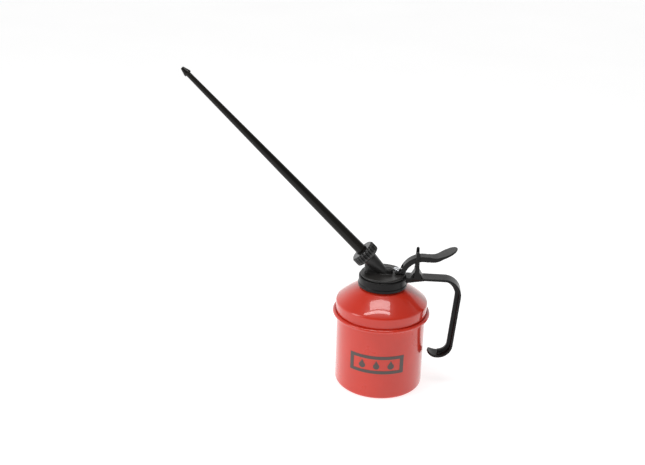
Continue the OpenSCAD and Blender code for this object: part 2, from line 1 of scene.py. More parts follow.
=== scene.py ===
# %% [markdown]
# # A thumb-lever oil can
# The object is a workshop oil can of half a litre. A drawn steel can with a domed shoulder carries a
# screwed collar, and the collar is one black casting with the handle and the lever's fork. Pressing
# the thumb lever lifts a rod in a small piston pump, which sends oil up a long tapered spout.
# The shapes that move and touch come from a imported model, and this notebook dresses them: it builds
# the pieces that show in finer form, gives every piece a finish, and sets up a small studio.

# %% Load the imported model
import json
import math

import bmesh
import bpy
from mathutils import Matrix, Vector


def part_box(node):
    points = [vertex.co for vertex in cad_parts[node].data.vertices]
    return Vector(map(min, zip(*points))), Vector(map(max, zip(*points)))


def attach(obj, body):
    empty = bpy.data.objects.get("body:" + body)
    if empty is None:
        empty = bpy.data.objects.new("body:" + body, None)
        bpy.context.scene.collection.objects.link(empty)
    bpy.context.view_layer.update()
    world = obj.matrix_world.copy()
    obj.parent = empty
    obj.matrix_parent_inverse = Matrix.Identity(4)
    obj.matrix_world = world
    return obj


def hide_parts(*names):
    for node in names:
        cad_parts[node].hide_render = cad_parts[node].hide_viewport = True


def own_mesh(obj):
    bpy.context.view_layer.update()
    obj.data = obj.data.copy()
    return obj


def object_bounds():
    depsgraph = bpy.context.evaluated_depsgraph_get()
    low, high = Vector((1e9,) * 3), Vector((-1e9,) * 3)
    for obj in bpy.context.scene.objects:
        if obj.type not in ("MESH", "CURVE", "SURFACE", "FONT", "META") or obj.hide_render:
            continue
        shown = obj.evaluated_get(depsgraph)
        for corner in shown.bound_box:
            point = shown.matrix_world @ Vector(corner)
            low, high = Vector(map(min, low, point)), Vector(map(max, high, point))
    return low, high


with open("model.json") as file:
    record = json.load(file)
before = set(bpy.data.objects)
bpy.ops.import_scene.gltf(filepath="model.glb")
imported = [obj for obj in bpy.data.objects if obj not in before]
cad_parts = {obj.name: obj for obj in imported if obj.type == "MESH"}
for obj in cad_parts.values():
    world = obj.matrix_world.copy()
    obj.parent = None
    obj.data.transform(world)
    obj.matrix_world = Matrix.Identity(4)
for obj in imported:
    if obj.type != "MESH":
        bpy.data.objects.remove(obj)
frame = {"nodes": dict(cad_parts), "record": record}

model_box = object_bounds()
size = model_box[1] - model_box[0]
print("model box in mm:", [round(1000 * x, 1) for x in size])

# %% [markdown]
# ## Units and the spout's own axes
# Sizes in this notebook are in millimetres, because that is how a can maker draws them, and are
# turned into metres when a mesh is made. The spout leans at 45 degrees, so its pieces are drawn
# upright, as if they stood on a bench, and then laid along the spout with one matrix.

# %% Units and axes
MM = 0.001
HEAD_TOP, SPOUT_FOOT_X, SPOUT_LEAN = 113.8, 0.5, 45
PUMP_X = 13.1
UPRIGHT = Matrix.Identity(4)
SPOUT = Matrix.Translation((SPOUT_FOOT_X * MM, 0, HEAD_TOP * MM)) @ Matrix.Rotation(
    math.radians(-SPOUT_LEAN), 4, "Y"
)
PUMP = Matrix.Translation((PUMP_X * MM, 0, 0))
print("the spout points along", [round(x, 3) for x in SPOUT.to_3x3() @ Vector((0, 0, 1))])

# %% [markdown]
# ## Camera
# The can is seen from the front, a little under a metre away and from above its top, so that its
# round shoulder shows as an ellipse. A lens near 50 mm on a full frame keeps the long spout from
# looking stretched. The tilt and the small roll are written as three turns, which is easier to read
# than a matrix of nine numbers.

# %% Camera
camera = bpy.data.objects.new("camera", bpy.data.cameras.new("camera"))
bpy.context.collection.objects.link(camera)
camera.data.sensor_width = 36
camera.data.lens = 49.54
camera.matrix_world = (
    Matrix.Translation((0, -0.77207, 0.45699))
    @ Matrix.Rotation(math.radians(4.328), 4, "Z")
    @ Matrix.Rotation(math.radians(90 - 21.563), 4, "X")
    @ Matrix.Rotation(math.radians(1.368), 4, "Z")
)
bpy.context.scene.camera = camera
print("camera looks along", [round(x, 3) for x in camera.matrix_world.to_3x3() @ Vector((0, 0, -1))])

# %% [markdown]
# ## Floor and light
# A product of this kind is shown on a white sweep with almost no shadow. Here the sweep is a light
# table: a pale floor that glows a little by itself, so shadows stay faint. The sky is a ramp, bright
# near the ground and dark overhead, and it leans back so that the bright part stands taller behind
# the can. Flat tops seen at a low angle mirror that backdrop and turn grey, while the dome mirrors
# the dark zenith and keeps its deep red. A softbox and a narrow strip hang above, because gloss
# paint needs clear highlights to read as gloss, and a tall panel on the left rounds the body off.

# %% Floor and light
def soft_panel(name, place, aim, width, height, watts):
    lamp = bpy.data.lights.new(name, "AREA")
    lamp.shape, lamp.size, lamp.size_y, lamp.energy = "RECTANGLE", width, height, watts
    holder = bpy.data.objects.new(name, lamp)
    bpy.context.collection.objects.link(holder)
    holder.location = place
    holder.rotation_euler = (Vector(aim) - Vector(place)).to_track_quat("-Z", "Y").to_euler()
    return holder


world = bpy.data.worlds.new("studio")
world.use_nodes = True
sky = world.node_tree
ramp = sky.nodes.new("ShaderNodeValToRGB")
stops = ramp.color_ramp.elements
for place in (0.35, 0.7):
    stops.new(place)
for stop, shade in zip(stops, (1.0, 0.5, 0.19, 0.15)):
    stop.color = (shade, shade, shade, 1)
lean = sky.nodes.new("ShaderNodeVectorMath")
lean.operation = "DOT_PRODUCT"
lean.inputs[1].default_value = (0.1, -0.34, 1)
sky.links.new(sky.nodes.new("ShaderNodeTexCoord").outputs["Generated"], lean.inputs[0])
sky.links.new(lean.outputs["Value"], ramp.inputs["Fac"])
sky.links.new(ramp.outputs["Color"], sky.nodes["Background"].inputs["Color"])
sky.nodes["Background"].inputs["Strength"].default_value = 1.04
bpy.context.scene.world = world
soft_panel("overhead", (-0.045, -0.06, 1.25), (-0.045, -0.06, 0), 0.69, 0.28, 3.7)
soft_panel("strip", (-0.14, -0.285, 1.25), (-0.14, -0.285, 0), 0.92, 0.09, 2.4)
soft_panel("left_panel", (-1.1, -0.5, 0.75), (0, 0, 0.1), 0.5, 1.0, 4.8)

bpy.ops.mesh.primitive_plane_add(size=16, location=(0, 0, 0))
floor = bpy.context.object
floor.name = "floor"
bpy.context.scene.view_settings.view_transform = "Standard"
print("floor and", len(bpy.data.lights), "soft panels")

# %% [markdown]
# ## Shared finish: mottle
# No sprayed or cast surface is one even colour. Under a lens it is a little lighter here and darker
# there, and it has a fine skin: orange peel in paint, a grain in a casting. Both come from noise at
# two sizes, so they are made once, as a shader group with named inputs that every finish reuses.

# %% Helpers for node trees, and the mottle group
def put(tree, kind, **settings):
    made = tree.nodes.new(kind)
    for key, value in settings.items():
        setattr(made, key, value)
    return made


def math_node(tree, operation, first, second, clamp=False):
    made = put(tree, "ShaderNodeMath", operation=operation, use_clamp=clamp)
    for socket, value in zip(made.inputs, (first, second)):
        if isinstance(value, (int, float)):
            socket.default_value = value
        else:
            tree.links.new(value, socket)
    return made.outputs[0]


def shader_group(name, inputs, outputs):
    tree = bpy.data.node_groups.new(name, "ShaderNodeTree")
    for label, kind, value in inputs:
        socket = tree.interface.new_socket(name=label, in_out="INPUT", socket_type=kind)
        if value is not None:
            socket.default_value = value
    for label in outputs:
        tree.interface.new_socket(name=label, in_out="OUTPUT", socket_type="NodeSocketFloat")
    return tree, put(tree, "NodeGroupInput"), put(tree, "NodeGroupOutput")


mottle, enter, leave = shader_group(
    "mottle",
    [("Vector", "NodeSocketVector", None), ("Patches", "NodeSocketFloat", 60.0),
     ("Skin", "NodeSocketFloat", 900.0)],
    ["Tone", "Height"],
)
broad = put(mottle, "ShaderNodeTexNoise")
broad.inputs["Detail"].default_value = 3
mottle.links.new(enter.outputs["Vector"], broad.inputs["Vector"])
mottle.links.new(enter.outputs["Patches"], broad.inputs["Scale"])
fine = put(mottle, "ShaderNodeTexNoise")
fine.inputs["Detail"].default_value = 2
mottle.links.new(enter.outputs["Vector"], fine.inputs["Vector"])
mottle.links.new(enter.outputs["Skin"], fine.inputs["Scale"])
spread = put(mottle, "ShaderNodeMapRange", interpolation_type="SMOOTHSTEP")
spread.inputs["From Min"].default_value, spread.inputs["From Max"].default_value = 0.2, 0.8
mottle.links.new(broad.outputs["Fac"], spread.inputs["Value"])
mottle.links.new(spread.outputs["Result"], leave.inputs["Tone"])
swell = math_node(mottle, "MULTIPLY", broad.outputs["Fac"], 0.6)
height = math_node(mottle, "ADD", fine.outputs["Fac"], swell)
mottle.links.new(height, leave.inputs["Height"])
print("mottle group:", len(mottle.nodes), "nodes")

# %% [markdown]
# ## Shared finish: rubbed edges with painted highlights, and dust
# Hands and rags polish the edges of a tool, and dust stays where nothing rubs, on faces that look
# up. The edge colour is partly that wear and partly a painted highlight: on the black finishes it is
# a lighter line that stands in for the shine along edges and rib crests. Pointiness tells how
# sharply a surface bends, which finds the edges, and the upward part of the normal finds the
# ledges. Noise breaks both up, since wear is never even.

# %% Rubbed edges with painted highlights, and dust
rubbed_and_painted_highlight, enter, leave = shader_group(
    "rubbed edges", [("Vector", "NodeSocketVector", None), ("Amount", "NodeSocketFloat", 0.5)], ["Mask"]
)
bend = put(rubbed_and_painted_highlight, "ShaderNodeMapRange")
bend.inputs["From Min"].default_value, bend.inputs["From Max"].default_value = 0.53, 0.62
rubbed_and_painted_highlight.links.new(put(rubbed_and_painted_highlight, "ShaderNodeNewGeometry").outputs["Pointiness"], bend.inputs["Value"])
patchy = put(rubbed_and_painted_highlight, "ShaderNodeTexNoise")
patchy.inputs["Scale"].default_value, patchy.inputs["Detail"].default_value = 160, 4
rubbed_and_painted_highlight.links.new(enter.outputs["Vector"], patchy.inputs["Vector"])
# The sharp-edge mask: rubbed wear on the bare metals, a painted highlight on the black finishes.
worn_and_painted_highlight = math_node(rubbed_and_painted_highlight, "MULTIPLY", bend.outputs["Result"], patchy.outputs["Fac"])
rubbed_and_painted_highlight.links.new(math_node(rubbed_and_painted_highlight, "MULTIPLY", worn_and_painted_highlight, enter.outputs["Amount"], True), leave.inputs["Mask"])

dust, enter, leave = shader_group(
    "settled dust", [("Vector", "NodeSocketVector", None), ("Amount", "NodeSocketFloat", 0.1)], ["Mask"]
)
apart = put(dust, "ShaderNodeSeparateXYZ")
dust.links.new(put(dust, "ShaderNodeTexCoord").outputs["Normal"], apart.inputs[0])
ledge = put(dust, "ShaderNodeMapRange")
ledge.inputs["From Min"].default_value, ledge.inputs["From Max"].default_value = 0.5, 1.0
dust.links.new(apart.outputs["Z"], ledge.inputs["Value"])
specks = put(dust, "ShaderNodeTexNoise")
specks.inputs["Scale"].default_value, specks.inputs["Detail"].default_value = 420, 5
dust.links.new(enter.outputs["Vector"], specks.inputs["Vector"])
laid = math_node(dust, "MULTIPLY", ledge.outputs["Result"], specks.outputs["Fac"])
dust.links.new(math_node(dust, "MULTIPLY", laid, enter.outputs["Amount"], True), leave.inputs["Mask"])
print("groups:", [g.name for g in (mottle, rubbed_and_painted_highlight, dust)])

# %% [markdown]
# ## Finishes
# Each finish is one material with its own shader. Two colours are mixed by the mottle's tone, then
# the edge colour, partly rubbed wear and partly a painted highlight, and dust are laid over them. What is
# the same all over, such as a coat of lacquer, is set on the shader itself, and only what changes over the
# surface is wired in.

# %% The finish builder
def mix_colour(tree, mask, first, second):
    made = put(tree, "ShaderNodeMix", data_type="RGBA")
    tree.links.new(mask, made.inputs["Factor"])
    for socket, value in ((made.inputs[6], first), (made.inputs[7], second)):
        if isinstance(value, tuple):
            socket.default_value = (*value, 1)
        else:
            tree.links.new(value, socket)
    return made.outputs[2]


def place_group(tree, group, vector, **values):
    made = put(tree, "ShaderNodeGroup", node_tree=group)
    tree.links.new(vector, made.inputs["Vector"])
    for label, value in values.items():
        made.inputs[label].default_value = value
    return made


def finish(name, light, dark, rough, patches=60, skin=900, bump=0.1, edge=None, edge_wear_and_highlight_amount=0.0,
           dust_amount=0.0, stretch=(1, 1, 1), **uniform):
    material = bpy.data.materials.new(name)
    material.use_nodes = True
    tree = material.node_tree
    shader = tree.nodes["Principled BSDF"]
    for label, value in uniform.items():
        shader.inputs[label.replace("_", " ").title().replace("Ior", "IOR")].default_value = value
    spot = put(tree, "ShaderNodeMapping")
    spot.inputs["Scale"].default_value = stretch
    tree.links.new(put(tree, "ShaderNodeTexCoord").outputs["Object"], spot.inputs["Vector"])
    where = spot.outputs["Vector"]
    tone = place_group(tree, mottle, where, Patches=patches, Skin=skin)
    colour = mix_colour(tree, tone.outputs["Tone"], light, dark)
    # Edge colour where the surface bends sharply: rubbed wear on the bare metals, a painted highlight on the
    # black finishes.
    if edge:
        worn_and_painted_highlight = place_group(tree, rubbed_and_painted_highlight, where, Amount=edge_wear_and_highlight_amount).outputs["Mask"]
        colour = mix_colour(tree, worn_and_painted_highlight, colour, edge)
    if dust_amount:
        laid = place_group(tree, dust, where, Amount=dust_amount).outputs["Mask"]
        colour = mix_colour(tree, laid, colour, (0.42, 0.38, 0.33))
    tree.links.new(colour, shader.inputs["Base Color"])
    dull = put(tree, "ShaderNodeMapRange")
    dull.inputs["To Min"].default_value, dull.inputs["To Max"].default_value = rough
    tree.links.new(tone.outputs["Tone"], dull.inputs["Value"])
    tree.links.new(dull.outputs["Result"], shader.inputs["Roughness"])
    lumps = put(tree, "ShaderNodeBump")
    lumps.inputs["Strength"].default_value, lumps.inputs["Distance"].default_value = bump, 0.0002
    tree.links.new(tone.outputs["Height"], lumps.inputs["Height"])
    tree.links.new(lumps.outputs["Normal"], shader.inputs["Normal"])
    return material


# %% [markdown]
# ## Paint, black enamel and ink
# The can is stoved in gloss red: a saturated coat under clear lacquer, so its reflections stay
# sharp. The black parts differ a little, as they do when they come from different makers: a satin
# collar and lever, a duller head, a smooth spout with a trace of brown, and a ribbed nut. Their grey
# edge colours are painted highlights, strongest on the crests of the nut's ribs. The printed panel
# is thin dull ink, a green-grey black through which red shows.

# %% Painted finishes
red_paint = finish(
    "red gloss enamel", (0.71, 0.031, 0.010), (0.63, 0.024, 0.007), (0.26, 0.32), patches=24, skin=700,
    bump=0.04, edge=(0.72, 0.10, 0.05), edge_wear_and_highlight_amount=0.2, dust_amount=0.04, specular_ior_level=0.33,
    coat_weight=1.0, coat_roughness=0.05, coat_ior=1.45,
)
# The grey edge colours of the black finishes are painted highlights along their edges.
black_cast = finish(
    "black satin casting", (0.0095, 0.0090, 0.0090), (0.0055, 0.0055, 0.0060), (0.24, 0.34), patches=90,
    skin=1500, bump=0.12, edge=(0.13, 0.122, 0.115), edge_wear_and_highlight_amount=0.6, dust_amount=0.02,
    specular_ior_level=0.22,
)
black_head = finish(
    "black head casting", (0.0200, 0.0188, 0.0182), (0.0110, 0.0108, 0.0108), (0.30, 0.44), patches=110,
    skin=1500, bump=0.15, edge=(0.14, 0.13, 0.12), edge_wear_and_highlight_amount=0.6, dust_amount=0.05,
    specular_ior_level=0.42,
)
black_tube = finish(
    "black enamelled tube", (0.0080, 0.0065, 0.0050), (0.0045, 0.0040, 0.0035), (0.14, 0.22), patches=50,
    skin=1200, bump=0.05, edge=(0.045, 0.040, 0.034), edge_wear_and_highlight_amount=0.4, dust_amount=0.01,
    specular_ior_level=0.26,
)
# Painted highlight: the pale edge colour lights the crests of the nut's ribs.
black_grip = finish(
    "black ribbed grip", (0.011, 0.0105, 0.0105), (0.0060, 0.0060, 0.0065), (0.18, 0.26), patches=120,
    skin=1500, bump=0.08, edge=(0.15, 0.148, 0.145), edge_wear_and_highlight_amount=0.8, dust_amount=0.02,
    specular_ior_level=0.4,
)
ink = finish(
    "printed ink", (0.060, 0.060, 0.052), (0.095, 0.050, 0.042), (0.42, 0.55), patches=900, skin=2600,
    bump=0.05, coat_weight=0.4, coat_roughness=0.12,
)
painted = (red_paint, black_cast, black_head, black_tube, black_grip, ink)
print("painted finishes:", [material.name for material in painted])

# %% [markdown]
# ## Bare metals, rubber and leather
# The working parts inside are bare: zinc-plated steel, brass and two leather packings, and the
# rod's head is polished bright. Stretching the noise along one axis turns it into the fine lines
# that a lathe or a polishing belt leaves.

# %% Bare finishes
zinc = finish(
    "zinc plated steel", (0.58, 0.59, 0.60), (0.44, 0.45, 0.47), (0.26, 0.42), patches=70, skin=500,
    bump=0.12, edge=(0.75, 0.76, 0.77), edge_wear_and_highlight_amount=0.6, stretch=(1, 1, 7), metallic=1.0,
)
chrome = finish(
    "polished chrome", (0.86, 0.88, 0.90), (0.78, 0.80, 0.83), (0.06, 0.12), patches=200, skin=1500,
    bump=0.04, stretch=(1, 1, 5), metallic=1.0,
)
brass = finish(
    "turned brass", (0.74, 0.54, 0.24), (0.58, 0.39, 0.15), (0.24, 0.38), patches=50, skin=400,
    bump=0.15, edge=(0.85, 0.68, 0.36), edge_wear_and_highlight_amount=0.6, stretch=(1, 1, 9), metallic=1.0,
)
rubber = finish(
    "black rubber", (0.022, 0.022, 0.023), (0.014, 0.014, 0.015), (0.62, 0.78), patches=300, skin=1800,
    bump=0.2, dust_amount=0.2,
)
leather = finish(
    "oiled leather", (0.20, 0.10, 0.045), (0.11, 0.05, 0.022), (0.45, 0.6), patches=500, skin=1400,
    bump=0.5,
)
paper = finish(
    "pale sweep", (0.50, 0.50, 0.50), (0.48, 0.48, 0.48), (0.75, 0.85), patches=3, skin=60,
    bump=0.01, emission_color=(1, 1, 1, 1), emission_strength=0.78,
)
floor.data.materials.append(paper)
by_slot = {"red_paint": red_paint, "label_print": ink, "rubber": rubber, "black_enamel": black_cast,
           "zinc_steel": zinc, "bright_chrome": chrome, "brass": brass, "leather": leather}
print("finishes for", len(by_slot), "slots")

# %% [markdown]
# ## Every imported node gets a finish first
# The record says which finish each node has. Giving all of them their material now means that a
# piece that isn't rebuilt below, such as the piston inside the barrel, is already finished.

# %% Finish for every node
slot_of = {part["node"]: part["material_slot"] for part in frame["record"]["subparts"]}
body_of = {node: body for body, nodes in frame["record"]["behaviour"]["bodies"].items() for node in nodes}
for name, item in frame["nodes"].items():
    item.data.materials.clear()
    item.data.materials.append(by_slot[slot_of[name]])
print(len(frame["nodes"]), "nodes finished")

# %% [markdown]
# ## Turned shapes
# The can, the nut, the nozzle and the rod's head are all turned or spun on a real machine, so each
# is half an outline carried once round an axis. A real edge is never sharp: every corner of an
# outline gets a small arc, and a short straight lead on each side of it keeps the shading of the
# flat faces flat. Points on the axis become one vertex, which closes the pole.

# %% Outline and lathe
def arc(centre, radius, start, end, steps=8):
    turns = [math.radians(start + (end - start) * i / steps) for i in range(steps + 1)]
    return [(centre[0] + radius * math.cos(a), centre[1] + radius * math.sin(a)) for a in turns]


def eased(outline, closed):
    """Rounds the corners of an outline. A point (r, z) stays sharp, and (r, z, radius) gets an arc."""
    done, count = [], len(outline)
    for i, point in enumerate(outline):
        here = Vector(point[:2])
        if len(point) == 2 or (not closed and i in (0, count - 1)):
            done.append(tuple(here))
            continue
        before, after = Vector(outline[i - 1][:2]) - here, Vector(outline[(i + 1) % count][:2]) - here
        corner = before.angle(after)
        reach = min(point[2] / math.tan(corner / 2), 0.45 * before.length, 0.45 * after.length)
        inner = reach * math.tan(corner / 2)
        inward = (before.normalized() + after.normalized()).normalized()
        middle = here + inward * (inner / math.sin(corner / 2))
        first, last = here + before.normalized() * reach, here + after.normalized() * reach
        lead = 0.08 * min(before.length, after.length, 4 * inner)
        done.append(tuple(first + before.normalized() * lead))
        spread = (first - middle).angle_signed(last - middle)
        for k in range(6):
            turned = Matrix.Rotation(-spread * k / 5, 2) @ (first - middle)
            done.append(tuple(middle + turned))
        done.append(tuple(last + after.normalized() * lead))
    return done


def new_piece(name, mesh):
    piece = bpy.data.objects.new(name, mesh)
    bpy.context.collection.objects.link(piece)
    return piece


def lathe(name, outline, axes=UPRIGHT, closed=True, steps=128):
    points = eased(outline, closed)
    mesh = bpy.data.meshes.new(name)
    bm = bmesh.new()
    rings = []
    for r, z in points:
        if r < 1e-6:
            rings.append([bm.verts.new((0, 0, z * MM))] * steps)
        else:
            rings.append([bm.verts.new((r * MM * math.cos(a), r * MM * math.sin(a), z * MM))
                          for a in (2 * math.pi * k / steps for k in range(steps))])
    for i in range(len(rings) if closed else len(rings) - 1):
        low, high = rings[i], rings[(i + 1) % len(rings)]
        for k in range(steps):
            corners = [low[k], low[(k + 1) % steps], high[(k + 1) % steps], high[k]]
            unique = list(dict.fromkeys(corners))
            if len(unique) > 2:
                bm.faces.new(unique)
    bmesh.ops.recalc_face_normals(bm, faces=bm.faces)
    bm.to_mesh(mesh)
    bm.free()
    mesh.transform(axes)
    mesh.shade_smooth()
    mesh.set_sharp_from_angle(angle=math.radians(40))
    return new_piece(name, mesh)


def dress(piece, nodes, material=None):
    """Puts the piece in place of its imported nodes, on their body and with their slot."""
    body, slot = body_of[nodes[0]], slot_of[nodes[0]]
    if material or not piece.data.materials:
        piece.data.materials.clear()
        piece.data.materials.append(material or by_slot[slot])
    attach(piece, body)
    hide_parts(*nodes)
    piece.data.calc_loop_triangles()
    print(piece.name, "rides on", body, "with", len(piece.data.loop_triangles), "triangles")
    return piece


# %% [markdown]
# ## The drawn can
# The lower half is one deep cup, drawn from sheet steel 0.6 mm thick. Its floor is pushed up a
# little inside a round rim, so that it stands on a ring and not on its middle, and two rings are
# pressed into it to stiffen it. The outline runs along the outside, over the flange and back down
# the inside, so the cup has a real wall.

# %% The drawn can
outside = [(0, 0.9), (17, 0.9, 0.5), (18, 0.5, 0.5), (19, 0.5, 0.5), (20, 0.9, 0.5), (33.5, 0.9, 0.8),
           (34.6, 0, 0.6), (42.5, 0, 3.0), (42.5, 71.4, 1.2), (44.6, 72.9, 0.2)]
inside = [(44.6, 73.4, 0.2), (41.9, 73.4, 0.6), (41.9, 0.7, 2.4), (33.9, 0.7, 0.4), (32.8, 1.6, 0.6),
          (0, 1.6)]
dress(lathe("drawn_can", outside + inside, closed=False, steps=192), ["can_body"])

# %% [markdown]
# ## The shoulder
# The upper shell is seamed on to the cup: its edge is rolled round the cup's flange into a tight
# bead. Above the bead a short wall leads to a rounded edge, a shallow dome and the neck. The dome is
# a long arc with a radius of about 90 mm, worked out from its two ends and the slope where it
# starts, so that it flows out of the edge without a crease.

# %% The shoulder
edge = arc((40.8, 84), 3, 2, 48, 6)
start, end, slope = Vector(edge[-1]), Vector((20.7, 100.85)), 42
chord = end - start
bow = slope - math.degrees(math.atan2(chord.y, -chord.x))
dome_radius = chord.length / 2 / math.sin(math.radians(bow))
dome_middle = start - dome_radius * Vector((math.cos(math.radians(48)), math.sin(math.radians(48))))
dome = arc(dome_middle, dome_radius, 48, 48 + 2 * bow, 14)[1:]
inner_dome = [(r - 0.35, z - 0.5) for r, z in reversed([*edge[3:], *dome])]
bead = arc((44.9, 73.5), 1.7, 150, -150, 22)
outer_shell = [(20.0, 107, 0.25), (20.0, 101.6, 0.5), *reversed(dome), *reversed(edge), (43.42, 74.9), *bead]
inner_shell = [(42.95, 72.9), (42.9, 74.2), (42.8, 75), (43.15, 84), *reversed(inner_dome),
               (19.4, 100.6, 0.5), (19.4, 107, 0.25)]
dress(lathe("seamed_shoulder", outer_shell + inner_shell, steps=192), ["can_shoulder"])
print("dome radius", round(dome_radius, 1), "mm")

# %% [markdown]
# ## The black castings
# The collar with its handle, the pump head and the lever come out of a mould, so their edges are
# soft and their joins have fillets. Rounding each edge by hand would take a modelling session. A
# voxel remesh of the exact part followed by a short smoothing does what the mould does: it rounds
# every edge and fills every inner corner by about half a millimetre. The voxel is kept small, so the
# part keeps its size and its thin rims.

# %% Cast copies
def evaluated_mesh(piece):
    graph = bpy.context.evaluated_depsgraph_get()
    return bpy.data.meshes.new_from_object(piece.evaluated_get(graph))


def exact_copy(name, node, flatten=False):
    """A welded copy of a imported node, with its flat faces made whole again if asked."""
    mesh = frame["nodes"][node].data.copy()
    bm = bmesh.new()
    bm.from_mesh(mesh)
    bmesh.ops.remove_doubles(bm, verts=bm.verts, dist=0.002 * MM)
    if flatten:
        bmesh.ops.dissolve_limit(bm, angle_limit=math.radians(1), verts=bm.verts, edges=bm.edges)
    bm.to_mesh(mesh)
    bm.free()
    return new_piece(name + "_rough", mesh)


def kept(name, rough):
    """Turns a copy and its modifiers into the finished piece."""
    result = evaluated_mesh(rough)
    bpy.data.objects.remove(rough)
    result.materials.clear()
    result.name = name
    return new_piece(name, result)


def moulded(name, node, voxel, passes):
    rough = exact_copy(name, node)
    rebuild = rough.modifiers.new("rebuild", "REMESH")
    rebuild.mode, rebuild.voxel_size = "VOXEL", voxel * MM
    relax = rough.modifiers.new("relax", "SMOOTH")
    relax.factor, relax.iterations = 0.5, passes
    piece = kept(name, rough)
    piece.data.shade_smooth()
    return piece


dress(moulded("collar_and_handle", "collar_handle", 0.44, 2), ["collar_handle"])
dress(moulded("cast_pump_head", "pump_head", 0.36, 3), ["pump_head"], black_head)
dress(moulded("cast_thumb_lever", "thumb_lever", 0.32, 6), ["thumb_lever"])

# %% [markdown]
# ## Small turned pieces of the head
# The rod's polished head sits in the lever's fork. It is slightly crowned with a turned dimple in
# its middle, the only bright spot on the black head. The pivot pin is a rivet with two domed ends.
# The valve chamber's plug and the three screws keep the exact part, with a fine bevel on their
# edges to catch the light.

# %% Rod head, pin, plug and screws
button = [(0, 116.4), (3.25, 116.4, 0.25), (3.25, 118.6, 0.45), (1.5, 119.0, 0.6),
          (0.8, 118.75, 0.3), (0, 118.75)]
dress(lathe("bright_rod_head", button, PUMP, closed=False, steps=96), ["rod_head"])


def low_high(node):
    """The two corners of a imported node's box, in millimetres."""
    return [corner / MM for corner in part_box(node)]


pin_low, pin_high = low_high("lever_pin")
half = (pin_high.y - pin_low.y) / 2
across = Matrix.Translation(((pin_low + pin_high) / 2) * MM) @ Matrix.Rotation(math.radians(90), 4, "X")
rivet = [(0, -half), (0.9, -half), (1.5, -half + 0.2, 0.2), (1.7, -half + 0.4, 0.1), (1.3, -half + 0.45),
         (1.3, half - 0.45), (1.7, half - 0.4, 0.1), (1.5, half - 0.2, 0.2), (0.9, half), (0, half)]
dress(lathe("riveted_pin", rivet, across, closed=False, steps=64), ["lever_pin"], black_cast)


def bevelled(name, node, width):
    rough = exact_copy(name, node, flatten=True)
    cut = rough.modifiers.new("cut", "BEVEL")
    cut.width, cut.segments = width * MM, 2
    cut.limit_method, cut.angle_limit = "ANGLE", math.radians(35)
    return kept(name, rough)


dress(bevelled("slotted_plug", "chamber_plug", 0.1), ["chamber_plug"], black_cast)
dress(bevelled("collar_screws", "head_screws", 0.12), ["head_screws"])

# %% [markdown]
# ## The spout nut
# The nut is a turned ring whose rim has 24 ribs for the fingers. A rib is a rule, not a shape: the
# rim's radius rises and falls with the angle. So the plain ring is lathed with fine steps, and a
# Geometry Nodes tree pushes each point of the rim inwards by a wave of the angle. A grip value on
# each point says how much of the wave it takes, which lets the ribs run out before the chamfer.

# %% Geometry Nodes helpers
def geometry_tree(name, inputs):
    tree = bpy.data.node_groups.new(name, "GeometryNodeTree")
    tree.interface.new_socket(name="Geometry", in_out="INPUT", socket_type="NodeSocketGeometry")
    for label, kind in inputs:
        tree.interface.new_socket(name=label, in_out="INPUT", socket_type=kind)
    tree.interface.new_socket(name="Geometry", in_out="OUTPUT", socket_type="NodeSocketGeometry")
    return tree, put(tree, "NodeGroupInput"), put(tree, "NodeGroupOutput")


def finish_tree(tree, enter, leave, geometry):
    real, paint = put(tree, "GeometryNodeRealizeInstances"), put(tree, "GeometryNodeSetMaterial")
    tree.links.new(geometry, real.inputs["Geometry"])
    tree.links.new(real.outputs["Geometry"], paint.inputs["Geometry"])
    tree.links.new(enter.outputs["Material"], paint.inputs["Material"])
    tree.links.new(paint.outputs["Geometry"], leave.inputs["Geometry"])


def grown(piece, tree, **values):
    """Runs the tree on the piece with these inputs, and keeps the result as a plain mesh."""
    grow = piece.modifiers.new(tree.name, "NODES")
    grow.node_group = tree
    for item in tree.interface.items_tree:
        if item.in_out == "INPUT" and item.name.replace(" ", "_") in values:
            grow[item.identifier] = values[item.name.replace(" ", "_")]
    piece.update_tag()
    result = evaluated_mesh(piece)
    piece.modifiers.remove(grow)
    piece.data = result
    result.name = piece.name
    return piece


# %% [markdown]
# ## The rib tree
# The wave is a cosine of the angle times the number of ribs, moved so that a crest is 0 and the
# bottom of a groove is 1. Its power decides how wide the grooves are. The tree's inputs are the
# number of ribs, their depth and the finish.

# %% The rib tree
ribs, enter, leave = geometry_tree(
    "finger ribs",
    [("Ribs", "NodeSocketInt"), ("Depth", "NodeSocketFloat"), ("Material", "NodeSocketMaterial")],
)
apart = put(ribs, "ShaderNodeSeparateXYZ")
ribs.links.new(put(ribs, "GeometryNodeInputPosition").outputs[0], apart.inputs[0])
angle = math_node(ribs, "ARCTAN2", apart.outputs["Y"], apart.outputs["X"])
wave = math_node(ribs, "COSINE", math_node(ribs, "MULTIPLY", angle, enter.outputs["Ribs"]), 0.0)
trough = math_node(ribs, "MULTIPLY", math_node(ribs, "SUBTRACT", 1.0, wave), 0.5)
valley = math_node(ribs, "POWER", trough, 1.1)
grip = put(ribs, "GeometryNodeInputNamedAttribute", data_type="FLOAT")
grip.inputs["Name"].default_value = "grip"
share = math_node(ribs, "MULTIPLY", valley, grip.outputs[0])
depth = math_node(ribs, "MULTIPLY", share, enter.outputs["Depth"])
outward = put(ribs, "ShaderNodeCombineXYZ")
ribs.links.new(math_node(ribs, "COSINE", angle, 0.0), outward.inputs["X"])
ribs.links.new(math_node(ribs, "SINE", angle, 0.0), outward.inputs["Y"])
push = put(ribs, "ShaderNodeVectorMath", operation="SCALE")
ribs.links.new(outward.outputs[0], push.inputs[0])
ribs.links.new(math_node(ribs, "MULTIPLY", depth, -1.0), push.inputs["Scale"])
move = put(ribs, "GeometryNodeSetPosition")
ribs.links.new(enter.outputs["Geometry"], move.inputs["Geometry"])
